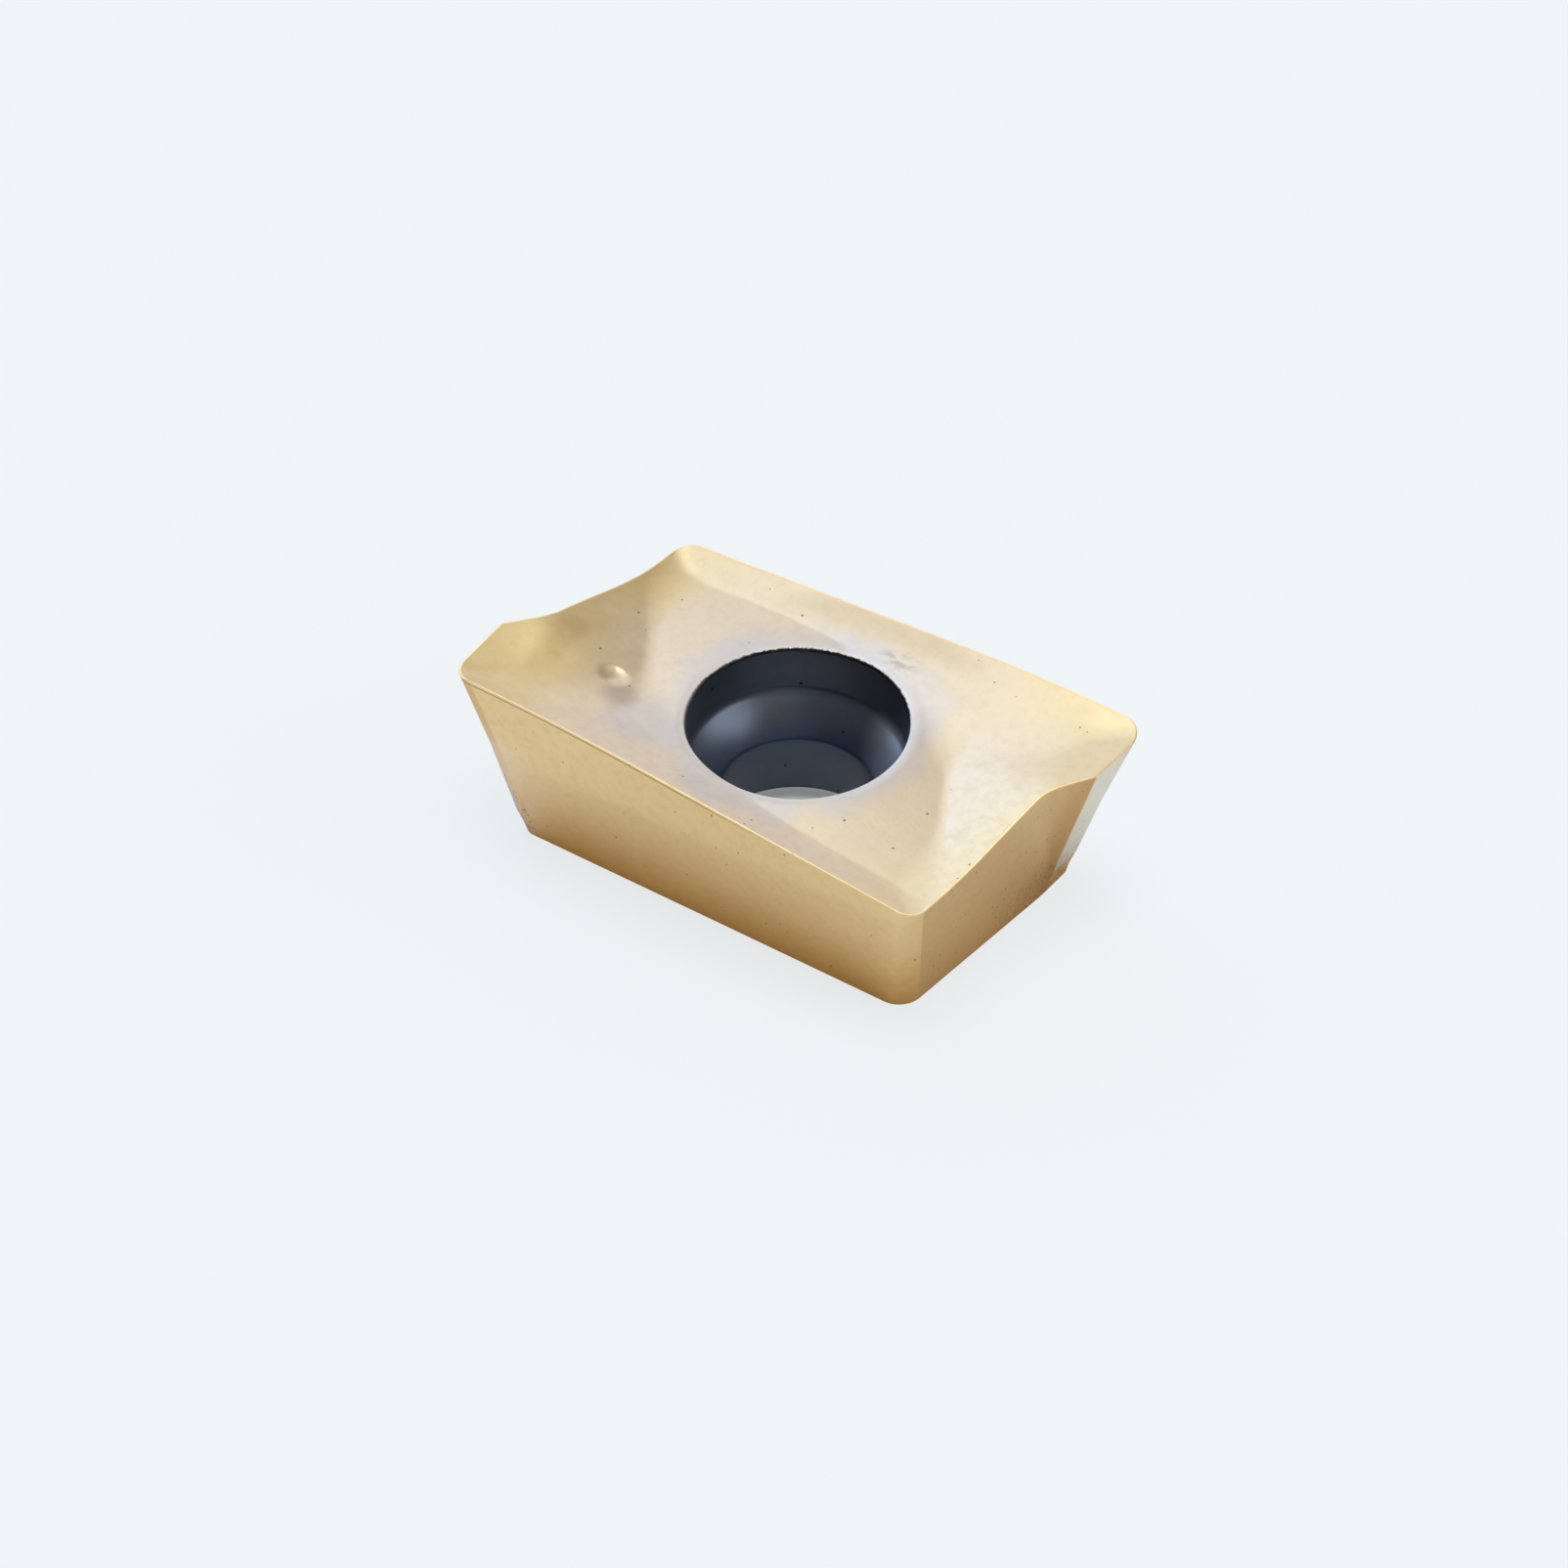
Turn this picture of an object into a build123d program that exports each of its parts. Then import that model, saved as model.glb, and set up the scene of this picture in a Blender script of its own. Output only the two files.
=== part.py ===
"""Indexable carbide milling insert, one pressed and sintered piece of cemented carbide.

The origin lies on the axis of the screw hole, in the plane of the seat face. Z points up
along the hole, and X along the length. The insert comes back onto itself when it is turned
half round about Z, so each feature is made once, at the +X end, and turned for the other.
All sizes are millimetres and degrees.
"""
import os
from math import acos, atan, cos, degrees, radians, sin, tan

from build123d import *

# Overall sizes
width = 9.525
length = 17.40
nose_height = 5.715

# Seat face, the flat bottom, set in from the overall sizes
seat_side_inset = 0.9595
seat_end_inset = 2.10
seat_corner_inset = 1.931

# Long cutting edges: level at the nose, bending over, then falling to the plain corner
edge_level_run = 0.94
edge_bend_run = 5.76
edge_drop = 5.14

# Relief angles of the flanks, measured from upright
long_lower_relief = 12.4
long_upper_relief = 5.4
end_relief = 11.72
end_skew = 4.1
wiper_relief = 19.4

# Wiper boss, which stands out of the end flank behind the nose
wiper_edge_run = 2.6025
wiper_turn = 0.8
shoulder_turn = 33.9
shoulder_relief = 18.7
shoulder_blend = 1.7

# Vertical corners
nose_radius = 0.8
nose_middle_radius = 0.95
nose_foot_radius = 0.30
plain_corner_radius = 0.55

# Rake face
long_rake = 18.3
end_rake = 15.9
end_edge_low_drop = 1.001
end_edge_high_drop = 0.062
end_edge_low_inset = 1.1025
end_edge_high_inset = 2.6425
end_edge_inset = 0.98
nose_land_drop = 0.025
nose_land_slope_x = 10.4
nose_land_slope_y = 2.4
collar_drop = 0.915
collar_diameter = 6.90
collar_slope = 6.3

# Screw hole, from the top down
recess_diameter = 6.284
rim_break = 0.06
seat_top_height = 3.275
seat_bottom_height = 2.22
seat_curve_radius = 3.2
bore_diameter = 4.38
bore_end_height = 0.47
bottom_mouth_diameter = 5.28

# Small round pressed mark on the rake face, at one end only
mark_end_inset = 3.40
mark_side_inset = 3.33
mark_diameter = 0.86
mark_depth = 0.13

# Working room of the cutting solids beyond the insert
spare = 3.0

half_width = width / 2
half_length = length / 2
seat_half_width = half_width - seat_side_inset
seat_half_length = half_length - seat_end_inset
seat_corner_half = half_length - seat_corner_inset
edge_fall = tan(radians(edge_drop))
edge_level_end = -half_length + edge_level_run
edge_straight_start = edge_level_end + edge_bend_run
straight_start_height = nose_height - edge_fall * edge_bend_run / 2
wiper_start = half_width - wiper_edge_run
end_edge_low = nose_height - end_edge_low_drop
end_edge_high = nose_height - end_edge_high_drop
end_edge_low_y = -half_width + end_edge_low_inset
end_edge_high_y = half_width - end_edge_high_inset
end_edge_x = half_length - end_edge_inset
nose_land_height = nose_height - nose_land_drop
collar_height = nose_height - collar_drop
mark_x = -half_length + mark_end_inset
mark_y = -half_width + mark_side_inset
stock_top = nose_height + spare


def flank_plane(point, turn, relief):
    """Plane through a point whose outside faces turn degrees from +X and leans down by relief."""
    level = cos(radians(relief))
    normal = (cos(radians(turn)) * level, sin(radians(turn)) * level, -sin(radians(relief)))
    return Plane(origin=point, z_dir=normal)


def keep_inside(solid, *planes):
    """What is left of a solid on the inner side of each plane."""
    for plane in planes:
        solid = split(solid, bisect_by=plane, keep=Keep.BOTTOM)
    return solid


def half_turn(solid):
    """The same solid at the other end."""
    return Rot(0, 0, 180) * solid


def meeting_point(a, b, c):
    """Point where three planes meet."""
    na, nb, nc = a.z_dir, b.z_dir, c.z_dir
    da, db, dc = na.dot(a.origin), nb.dot(b.origin), nc.dot(c.origin)
    return (nb.cross(nc) * da + nc.cross(na) * db + na.cross(nb) * dc) / na.dot(nb.cross(nc))


# Long flanks: a lower plane off the seat, and a steeper upper one that ends in the edge
upper_skew = degrees(atan(edge_fall * tan(radians(long_upper_relief))))
edge_bend_point = (edge_straight_start, -half_width, straight_start_height)
near_lower = flank_plane((0, -seat_half_width, 0), -90, long_lower_relief)
near_upper = flank_plane(edge_bend_point, -90 - upper_skew, long_upper_relief)
far_bend_point = (-edge_straight_start, half_width, straight_start_height)
far_lower = flank_plane((0, seat_half_width, 0), 90, long_lower_relief)
far_upper = flank_plane(far_bend_point, 90 - upper_skew, long_upper_relief)

# End flank, the flat that squares its far corner, and the two faces of the wiper boss
end_flank = flank_plane((seat_half_length, 0, 0), -end_skew, end_relief)
end_corner = flank_plane((seat_corner_half, 0, 0), 0, end_relief)
nose_y = half_width - nose_radius
nose_z = nose_land_height - (nose_y - wiper_start) * tan(radians(nose_land_slope_y))
wiper = flank_plane((half_length, nose_y, nose_z), -wiper_turn, wiper_relief)
wiper_corner_lift = (nose_land_height - nose_z) * tan(radians(wiper_relief))
wiper_corner_x = half_length + wiper_corner_lift - (nose_y - wiper_start) * tan(radians(wiper_turn))
wiper_corner = (wiper_corner_x, wiper_start, nose_land_height)
shoulder = flank_plane(wiper_corner, -shoulder_turn, shoulder_relief)


def corner_edges(solid, first, second):
    """Edges of a solid that lie in both planes."""
    found = []
    for edge in solid.edges():
        ends = [edge @ 0, edge @ 1]
        if all(abs(plane.to_local_coords(end).Z) < 1e-4 for plane in (first, second) for end in ends):
            found.append(edge)
    return found


def core():
    """Body between the four flanks, without its wiper bosses and with its nose corners sharp."""
    stock = Box(length + spare, width + spare, stock_top, align=(Align.CENTER, Align.CENTER, Align.MIN))
    bar = keep_inside(stock, near_lower, near_upper, far_lower, far_upper)
    ended = bar
    for _ in range(2):
        ended = keep_inside(ended, end_flank, end_corner)
        plain = corner_edges(ended, near_lower, end_flank) + corner_edges(ended, near_upper, end_flank)
        ended = half_turn(fillet(plain, plain_corner_radius))
    return bar, ended


def wiper_boss(bar):
    """Wedge behind the nose that carries the wiper edge."""
    middle = Plane(origin=(0, 0, 0), z_dir=(-1, 0, 0))
    return keep_inside(bar, wiper, shoulder, middle)


def shoulder_fill():
    """Hollow blend between the end flank and the shoulder, running out to a point below."""
    apex = meeting_point(shoulder, end_flank, end_corner)
    top = Plane(origin=(0, 0, stock_top), z_dir=(0, 0, 1))
    corner = meeting_point(shoulder, end_flank, top)
    radius = shoulder_blend * (stock_top - apex.Z) / (nose_height - apex.Z)
    half_angle = radians(shoulder_turn - end_skew) / 2
    run = radius * tan(half_angle)
    end_way = Vector(sin(radians(end_skew)), cos(radians(end_skew)), 0)
    shoulder_way = Vector(sin(radians(shoulder_turn)), cos(radians(shoulder_turn)), 0)
    middle_turn = radians(shoulder_turn + end_skew) / 2
    bulge = radius / cos(half_angle) - radius
    on_end = corner - end_way * run
    on_shoulder = corner + shoulder_way * run
    on_arc = corner + Vector(cos(middle_turn), -sin(middle_turn), 0) * bulge
    outline = [Line(on_shoulder, corner), Line(corner, on_end), ThreePointArc(on_end, on_arc, on_shoulder)]
    return loft([make_face(outline), Vertex(*apex)], ruled=True)


def outside_corner(first, second, height, radius):
    """Section at one height of what a rounding takes off the corner between two flanks."""
    level = Plane(origin=(0, 0, height), z_dir=(0, 0, 1))
    corner = meeting_point(first, second, level)
    one = Vector(first.z_dir.X, first.z_dir.Y, 0).normalized()
    two = Vector(second.z_dir.X, second.z_dir.Y, 0).normalized()
    middle = (one + two).normalized()
    center = corner - middle * (radius / cos(acos(one.dot(two)) / 2))
    on_one, on_arc, on_two = center + one * radius, center + middle * radius, center + two * radius
    beyond = [on_two, on_two + two * spare, corner + (one + two) * spare, on_one + one * spare, on_one]
    return make_face([ThreePointArc(on_one, on_arc, on_two), Polyline(*beyond)])


def nose_rounding():
    """What the changing nose radius takes off, from the cutting edge down to the narrow foot."""
    crease = meeting_point(wiper, far_upper, far_lower).Z
    foot = meeting_point(wiper, end_corner, far_lower).Z
    growth = (nose_radius - nose_middle_radius) / (nose_land_height - crease)
    sections = [
        outside_corner(end_corner, far_lower, min(foot, 0) - nose_foot_radius, nose_foot_radius),
        outside_corner(wiper, far_lower, foot, nose_foot_radius),
        outside_corner(wiper, far_lower, crease, nose_middle_radius),
        outside_corner(wiper, far_upper, stock_top, nose_middle_radius + growth * (stock_top - crease)),
    ]
    return loft(sections, ruled=True)


def solid_under(profile, direction, run):
    """Everything below a rake facet, swept along its fall."""
    way = Vector(*direction)
    return extrude(make_face(profile), amount=run * way.length, dir=tuple(way))


def long_facet():
    """Chip face along a long edge, falling inwards from the edge at the long rake."""
    fall = tan(radians(long_rake))
    y = -half_width - spare
    lift = fall * spare
    start, end = -length, length
    level = nose_height + lift
    bend = straight_start_height + lift
    last = bend - edge_fall * (end - edge_straight_start)
    middle_x = (edge_level_end + edge_straight_start) / 2
    top = [
        Line((start, y, level), (edge_level_end, y, level)),
        Bezier((edge_level_end, y, level), (middle_x, y, level), (edge_straight_start, y, bend)),
        Line((edge_straight_start, y, bend), (end, y, last)),
    ]
    sides = [
        Line((end, y, last), (end, y, -stock_top)),
        Line((end, y, -stock_top), (start, y, -stock_top)),
        Line((start, y, -stock_top), (start, y, level)),
    ]
    return solid_under(top + sides, (0, 1, -fall), half_width + spare)


def end_facet():
    """Chip face along an end edge, low at the plain corner and high behind the wiper."""
    fall = tan(radians(end_rake))
    x = end_edge_x + spare
    low, high = end_edge_low + fall * spare, end_edge_high + fall * spare
    third = (end_edge_high_y - end_edge_low_y) / 3
    start, end = -width, width
    top = [
        Line((x, start, low), (x, end_edge_low_y, low)),
        Bezier(
            (x, end_edge_low_y, low),
            (x, end_edge_low_y + third, low),
            (x, end_edge_high_y - third, high),
            (x, end_edge_high_y, high),
        ),
        Line((x, end_edge_high_y, high), (x, end, high)),
    ]
    sides = [
        Line((x, end, high), (x, end, -stock_top)),
        Line((x, end, -stock_top), (x, start, -stock_top)),
        Line((x, start, -stock_top), (x, start, low)),
    ]
    wedge = solid_under(top + sides, (-1, 0, -fall), end_edge_x + spare - recess_diameter / 2)
    tilt = (-tan(radians(nose_land_slope_x)), tan(radians(nose_land_slope_y)), 1)
    nose_land = Plane(origin=wiper_corner, z_dir=tilt)
    return keep_inside(wedge, nose_land)


def collar():
    """Flat ring round the hole, falling away gently outside it."""
    ring = collar_diameter / 2
    reach = length
    foot = collar_height - (reach - ring) * tan(radians(collar_slope))
    outline = Polyline(
        (0, 0, -spare),
        (reach, 0, -spare),
        (reach, 0, foot),
        (ring, 0, collar_height),
        (0, 0, collar_height),
        close=True,
    )
    return revolve(make_face(outline), axis=Axis.Z)


def screw_hole():
    """Room for the clamping screw: head recess, curved seat, bore and bottom mouth."""
    recess = recess_diameter / 2
    bore = bore_diameter / 2
    mouth = bottom_mouth_diameter / 2
    top = stock_top
    seat_top = Vector(recess, 0, seat_top_height)
    seat_bottom = Vector(bore, 0, seat_bottom_height)
    chord = seat_top - seat_bottom
    sagitta = seat_curve_radius - (seat_curve_radius**2 - (chord.length / 2) ** 2) ** 0.5
    inward = Vector(-chord.Z, 0, chord.X).normalized()
    crown = (seat_top + seat_bottom) / 2 + inward * sagitta
    rim = collar_height - rim_break
    outline = [
        Line((0, 0, top), (recess + rim_break, 0, top)),
        Line((recess + rim_break, 0, top), (recess + rim_break, 0, collar_height)),
        Line((recess + rim_break, 0, collar_height), (recess, 0, rim)),
        Line((recess, 0, rim), seat_top),
        ThreePointArc(seat_top, crown, seat_bottom),
        Line(seat_bottom, (bore, 0, bore_end_height)),
        Line((bore, 0, bore_end_height), (mouth, 0, 0)),
        Line((mouth, 0, 0), (0, 0, 0)),
        Line((0, 0, 0), (0, 0, top)),
    ]
    return revolve(make_face(outline), axis=Axis.Z)


def pressed_mark(body):
    """Ball whose cap sinks into the rake face as the small round mark."""
    ball = (mark_diameter**2 / 4 + mark_depth**2) / (2 * mark_depth)
    probe = Line((mark_x, mark_y, 0.1), (mark_x, mark_y, stock_top))
    point = (probe & body).edge().end_point()
    fall = tan(radians(end_rake))
    normal = Vector(fall, 0, 1).normalized()
    return Pos(*(point + normal * (ball - mark_depth))) * Sphere(ball)


def both_ends(solid):
    """A feature and its turned twin."""
    return solid + half_turn(solid)


def insert():
    """The finished insert."""
    bar, body = core()
    body = body + both_ends(wiper_boss(bar)) + both_ends(shoulder_fill())
    body = body - nose_rounding() - half_turn(nose_rounding())
    rake = collar() + both_ends(long_facet()) + both_ends(end_facet())
    body = (body & rake) - screw_hole()
    return body - pressed_mark(body)


def check(body):
    """Print what was made."""
    size = body.bounding_box().size
    print(f"insert {size.X:.3f} x {size.Y:.3f} x {size.Z:.3f} mm, {body.volume:.1f} mm3")


made = insert()
made.label = "insert"
check(made)
os.makedirs("parts", exist_ok=True)
export_step(made, "parts/insert.step")
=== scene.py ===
# %% [markdown]
# # A coated milling insert
#
# This script dresses one CAD part, an indexable milling insert of cemented carbide. The CAD model
# gives the sizes and the place. Here the same sizes make a finer surface, with the rounded cutting
# edge and the soft hollows that pressing leaves, and materials that follow the real finishes: a
# gold nitride coating outside and a dark one in the screw hole.

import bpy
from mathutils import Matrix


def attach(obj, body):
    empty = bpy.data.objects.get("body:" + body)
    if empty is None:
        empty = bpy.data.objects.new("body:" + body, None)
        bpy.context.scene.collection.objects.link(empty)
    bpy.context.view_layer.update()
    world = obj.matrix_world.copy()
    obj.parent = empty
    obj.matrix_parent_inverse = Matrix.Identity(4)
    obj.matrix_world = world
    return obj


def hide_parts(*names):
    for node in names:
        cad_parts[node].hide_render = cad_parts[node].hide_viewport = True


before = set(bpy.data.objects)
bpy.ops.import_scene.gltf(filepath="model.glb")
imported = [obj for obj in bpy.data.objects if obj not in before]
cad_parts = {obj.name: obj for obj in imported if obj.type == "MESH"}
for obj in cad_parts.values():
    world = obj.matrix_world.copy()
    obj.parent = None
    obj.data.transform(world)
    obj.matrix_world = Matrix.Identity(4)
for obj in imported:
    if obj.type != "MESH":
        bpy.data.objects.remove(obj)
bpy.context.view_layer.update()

# %% [markdown]
# numpy does the arithmetic on whole grids at once. All the shape functions below work in
# millimetres, as a drawing does, and the mesh is scaled to metres once, at the end.

# %% Tools and units
import math

import bpy
import numpy as np
from mathutils import Matrix, Vector

MM = 0.001


def slope(degrees):
    """Rise over run of a face that leans by this angle."""
    return math.tan(math.radians(degrees))


# %% [markdown]
# ## Sizes
#
# These are the sizes of the CAD part: width, length and height at the nose, the fall of the long
# cutting edges, and the radii of the corners. Each is in millimetres.

# %% Main sizes
HALF_WIDTH = 9.525 / 2
HALF_LENGTH = 17.40 / 2
NOSE_HEIGHT = 5.715
EDGE_LEVEL_END = -7.76
EDGE_STRAIGHT_START = -2.0
EDGE_FALL = slope(5.14)
STRAIGHT_START_HEIGHT = NOSE_HEIGHT - EDGE_FALL * (EDGE_STRAIGHT_START - EDGE_LEVEL_END) / 2
SEAT_HALF_WIDTH = 7.606 / 2
NOSE_RADIUS, NOSE_MIDDLE_RADIUS, NOSE_FOOT_RADIUS = 0.80, 0.95, 0.30
PLAIN_RADIUS_TOP, PLAIN_RADIUS_FOOT = 0.55, 0.68
NOSE_LAND_HEIGHT = 5.69
WIPER_START = 2.16
print("straight cutting edge starts at height", round(STRAIGHT_START_HEIGHT, 3), "mm")

# %% [markdown]
# ## Soft joins
#
# A pressed part has no knife-sharp inside corners. Where two faces meet, a smooth maximum or
# minimum rounds the join over a chosen width, and leaves both faces exact beyond it.


# %% Smooth maximum and minimum
def soft_max(a, b, width):
    """The larger of a and b. Within width of equal, a parabola joins them."""
    share = np.clip(0.5 + 0.5 * (a - b) / width, 0, 1)
    return b + (a - b) * share + width * share * (1 - share)


def soft_min(a, b, width):
    """The smaller of a and b, joined by the same parabola."""
    return -soft_max(-a, -b, width)


def ease(t):
    """0 below 0, 1 above 1, and the cubic 3t^2 - 2t^3 between."""
    t = np.clip(t, 0, 1)
    return t * t * (3 - 2 * t)


# %% [markdown]
# ## The chip face as a height map
#
# Seen from above, the chip face is a height over x and y. Along each long edge a strip falls
# inwards from the cutting edge. Along each end a facet does the same, low at the plain corner and
# high behind the nose. A nearly flat ring lies round the hole and rolls gently over into it. The
# face is the highest of these at each point, and it comes back onto itself after a half turn about
# the hole.


# %% Height of the chip face
RING_HEIGHT, RING_RADIUS, RING_FALL = 4.80, 3.45, slope(6.3)
ROLL_RADIUS, ROLL_DEPTH, ROLL_WIDTH = 3.42, 0.010, 0.21
STRIP_FALL = slope(18.3)
FACET_FALL, FACET_X = slope(15.9), 7.72
FACET_LOW, FACET_HIGH = 4.714, 5.653
FACET_LOW_Y, FACET_HIGH_Y = -3.66, 2.12
LAND_FALL, LAND_SIDE_FALL, LAND_INSET = slope(10.4), slope(2.4), 0.02


def long_edge_height(x):
    """Level at the nose, then a parabola, then a straight fall to the plain corner."""
    bend = np.clip(x - EDGE_LEVEL_END, 0, EDGE_STRAIGHT_START - EDGE_LEVEL_END)
    run = EDGE_STRAIGHT_START - EDGE_LEVEL_END
    straight = np.clip(x - EDGE_STRAIGHT_START, 0, None)
    return NOSE_HEIGHT - EDGE_FALL * (bend * bend / (2 * run) + straight)


def long_strip(x, y):
    """Plane family falling at 18.3 degrees from the near edge towards the middle."""
    return long_edge_height(x) - STRIP_FALL * (y + HALF_WIDTH)


def end_facet(x, y):
    """Falls inwards at 15.9 degrees from an end edge that eases upwards, up to the nose land.

    The land is a plane that falls inwards at 10.4 degrees and a little towards the nose. The join
    of the two widens from 0.10 mm at the end to 0.35 mm further in.
    """
    rise = FACET_HIGH - FACET_LOW
    edge = FACET_LOW + rise * ease((y - FACET_LOW_Y) / (FACET_HIGH_Y - FACET_LOW_Y))
    facet = edge + FACET_FALL * (x - FACET_X)
    inward = HALF_LENGTH - LAND_INSET - x
    land = NOSE_LAND_HEIGHT - LAND_FALL * inward - LAND_SIDE_FALL * (y - WIPER_START)
    return soft_min(facet, land, 0.10 + 0.25 * ease((7.8 - x) / 1.2))


def strip_join(x):
    """Join width of the near strip in mm: 0.05, up to 0.45 on the nose half, 0.18 at its end."""
    nose_half = ease((1.5 - x) / 3.5) * (0.3 + 0.7 * ease((x + 8.2) / 1.4))
    behind_nose = ease((-2.6 - x) / 2.0) * ease((x + 8.1) / 1.7)
    return 0.05 + 0.28 * nose_half + 0.12 * behind_nose + 0.13 * ease((x - 5.8) / 1.6)


def facet_join(y):
    """Join width of the right end facet: 0.09 mm behind the nose, 0.30 mm by the plain corner."""
    return 0.09 + 0.21 * ease((-0.6 - y) / 2.6)


def chip_height(x, y):
    """Highest of the ring, both end facets and both strips, softly joined, less the rim's roll.

    The roll is ROLL_DEPTH times the square of how far a point lies inside ROLL_RADIUS.
    """
    radius = np.hypot(x, y)
    ring = RING_HEIGHT - RING_FALL * np.clip(radius - RING_RADIUS, 0, None)
    right = soft_max(ring, end_facet(x, y), facet_join(y))
    ends = soft_max(right, end_facet(-x, -y), facet_join(-y))
    near = soft_max(ends, long_strip(x, y), strip_join(x))
    roll = ROLL_DEPTH * np.clip((ROLL_RADIUS - radius) / ROLL_WIDTH, 0, None) ** 2
    return soft_max(near, long_strip(-x, -y), strip_join(-x)) - roll


ring_sample = chip_height(np.array(3.6), np.array(0.0))
print("chip face height in the ring:", round(float(ring_sample), 3), "mm")

# %% [markdown]
# The press punch also leaves one small round mark, at one end only. It could be cut out with a
# ball and a boolean. Here it is a shallow bowl taken off the height map, which keeps the grid
# whole.

# %% Pressed mark
MARK_X, MARK_Y = -5.30, -1.43
MARK_RADIUS, MARK_DEPTH, MARK_RIM_JOIN = 0.42, 0.09, 0.10


def mark_depth(x, y):
    """A shallow bowl: depth falls with the square of the distance, and its rim is eased."""
    share = np.hypot(x - MARK_X, y - MARK_Y) / MARK_RADIUS
    return MARK_DEPTH * soft_max(1 - share * share, np.zeros_like(share), MARK_RIM_JOIN)


print("pressed mark depth:", MARK_DEPTH, "mm")

# %% [markdown]
# ## The flanks as a contour at each height
#
# Below the cutting edge the insert tapers, so each height has its own outline. The long sides have
# two facets that meet in a faint crease. Each end has a flank and, behind the nose, a boss that
# carries the wiper edge, joined to the flank by a hollow blend. Everything is worked out for the
# near side and the right end, and a half turn gives the rest.


# %% Long sides
LOWER_LEAN, UPPER_LEAN, CREASE_JOIN = slope(12.4), slope(5.4), 0.02


def side_reach(x, z):
    """Distance of the near side from the middle: the inner of the lower and the upper facet."""
    lower = SEAT_HALF_WIDTH + LOWER_LEAN * z
    line = STRAIGHT_START_HEIGHT - EDGE_FALL * (x - EDGE_STRAIGHT_START)
    upper = HALF_WIDTH - UPPER_LEAN * (line - z)
    return soft_min(lower, upper, CREASE_JOIN)


half_widths = [round(float(side_reach(0.0, z)), 3) for z in (0, 4)]
print("half width at the seat and 4 mm up:", half_widths, "mm")


# %% Leaning faces
def leaning_face(y, z, point, turn, relief):
    """x of a plane through a point that is turned by one angle in plan and leans by another."""
    px, py, pz = point
    return px + slope(turn) * (y - py) + slope(relief) / math.cos(math.radians(turn)) * (z - pz)


# %% Ends
FLANK_RELIEF, FLANK_TURN, FLANK_JOIN = 11.72, 4.1, 0.02
TURNED_FLANK_FOOT, SQUARE_FLANK_FOOT = (6.600, 0, 0), (6.769, 0, 0)
WIPER_TURN, WIPER_RELIEF = 0.8, 19.4
SHOULDER_TURN, SHOULDER_RELIEF, SHOULDER_JOIN = 33.9, 18.7, 0.008
BLEND_AT_FOOT, BLEND_GROWTH = 0.01, 0.25
FOOT_HEIGHT = 0.87
NOSE_Y = HALF_WIDTH - NOSE_RADIUS
NOSE_Z = NOSE_LAND_HEIGHT - (NOSE_Y - WIPER_START) * LAND_SIDE_FALL
WIPER_POINT = (HALF_LENGTH, NOSE_Y, NOSE_Z)
corner_x = leaning_face(WIPER_START, NOSE_LAND_HEIGHT, WIPER_POINT, WIPER_TURN, WIPER_RELIEF)
WIPER_CORNER = (corner_x, WIPER_START, NOSE_LAND_HEIGHT)


def wiper_border(z):
    """y of the line where the shoulder meets the wiper face, from the slopes of the two planes."""
    across = slope(SHOULDER_TURN) - slope(WIPER_TURN)
    wiper_lean = slope(WIPER_RELIEF) / math.cos(math.radians(WIPER_TURN))
    shoulder_lean = slope(SHOULDER_RELIEF) / math.cos(math.radians(SHOULDER_TURN))
    return WIPER_START + (z - NOSE_LAND_HEIGHT) * (wiper_lean - shoulder_lean) / across


def end_reach(y, z):
    """x of the right end: flank or wiper boss, whichever is further out, with a hollow blend."""
    flank = soft_min(
        leaning_face(y, z, TURNED_FLANK_FOOT, FLANK_TURN, FLANK_RELIEF),
        leaning_face(y, z, SQUARE_FLANK_FOOT, 0, FLANK_RELIEF), FLANK_JOIN)
    wiper = leaning_face(y, z, WIPER_POINT, WIPER_TURN, WIPER_RELIEF)
    shoulder = leaning_face(y, z, WIPER_CORNER, SHOULDER_TURN, SHOULDER_RELIEF)
    above_foot = np.clip((z - FOOT_HEIGHT) / (NOSE_HEIGHT - FOOT_HEIGHT), 0, 1)
    blend = BLEND_AT_FOOT + BLEND_GROWTH * above_foot
    return soft_max(flank, soft_min(wiper, shoulder, SHOULDER_JOIN), blend)


print("end reach at the wiper edge:", round(float(end_reach(3.5, NOSE_LAND_HEIGHT)), 3), "mm")


# %% [markdown]
# A corner of radius r between the side and the end is a quarter circle laid on both faces. Along
# the half outline the columns of the grid are shared out by length, and one column always runs
# down the border of the wiper face, so that this edge stays crisp.


# %% Corner radii
NOSE_CREASE_HEIGHT = 3.2


def radius_of_nose(z):
    """Nose radius from the edge down to the crease, then down to the narrow foot."""
    heights = [0, FOOT_HEIGHT, NOSE_CREASE_HEIGHT, NOSE_HEIGHT]
    radii = [NOSE_FOOT_RADIUS, NOSE_FOOT_RADIUS, NOSE_MIDDLE_RADIUS, NOSE_RADIUS]
    return np.interp(z, heights, radii)


def radius_of_plain_corner(z):
    """Plain corner radius, a little wider at the seat."""
    return np.interp(z, [0, NOSE_HEIGHT], [PLAIN_RADIUS_FOOT, PLAIN_RADIUS_TOP])


nose_radii = radius_of_nose([0, NOSE_CREASE_HEIGHT, NOSE_HEIGHT])
print("nose radius at the seat, the crease and the edge:", nose_radii, "mm")

# %% Half outline at each height
SIDE_COLUMNS, PLAIN_COLUMNS, FLANK_COLUMNS, WIPER_COLUMNS, NOSE_COLUMNS = 140, 22, 108, 36, 30
HALF_COLUMNS = SIDE_COLUMNS + PLAIN_COLUMNS + FLANK_COLUMNS + WIPER_COLUMNS + NOSE_COLUMNS
COLUMNS = 2 * HALF_COLUMNS
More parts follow.
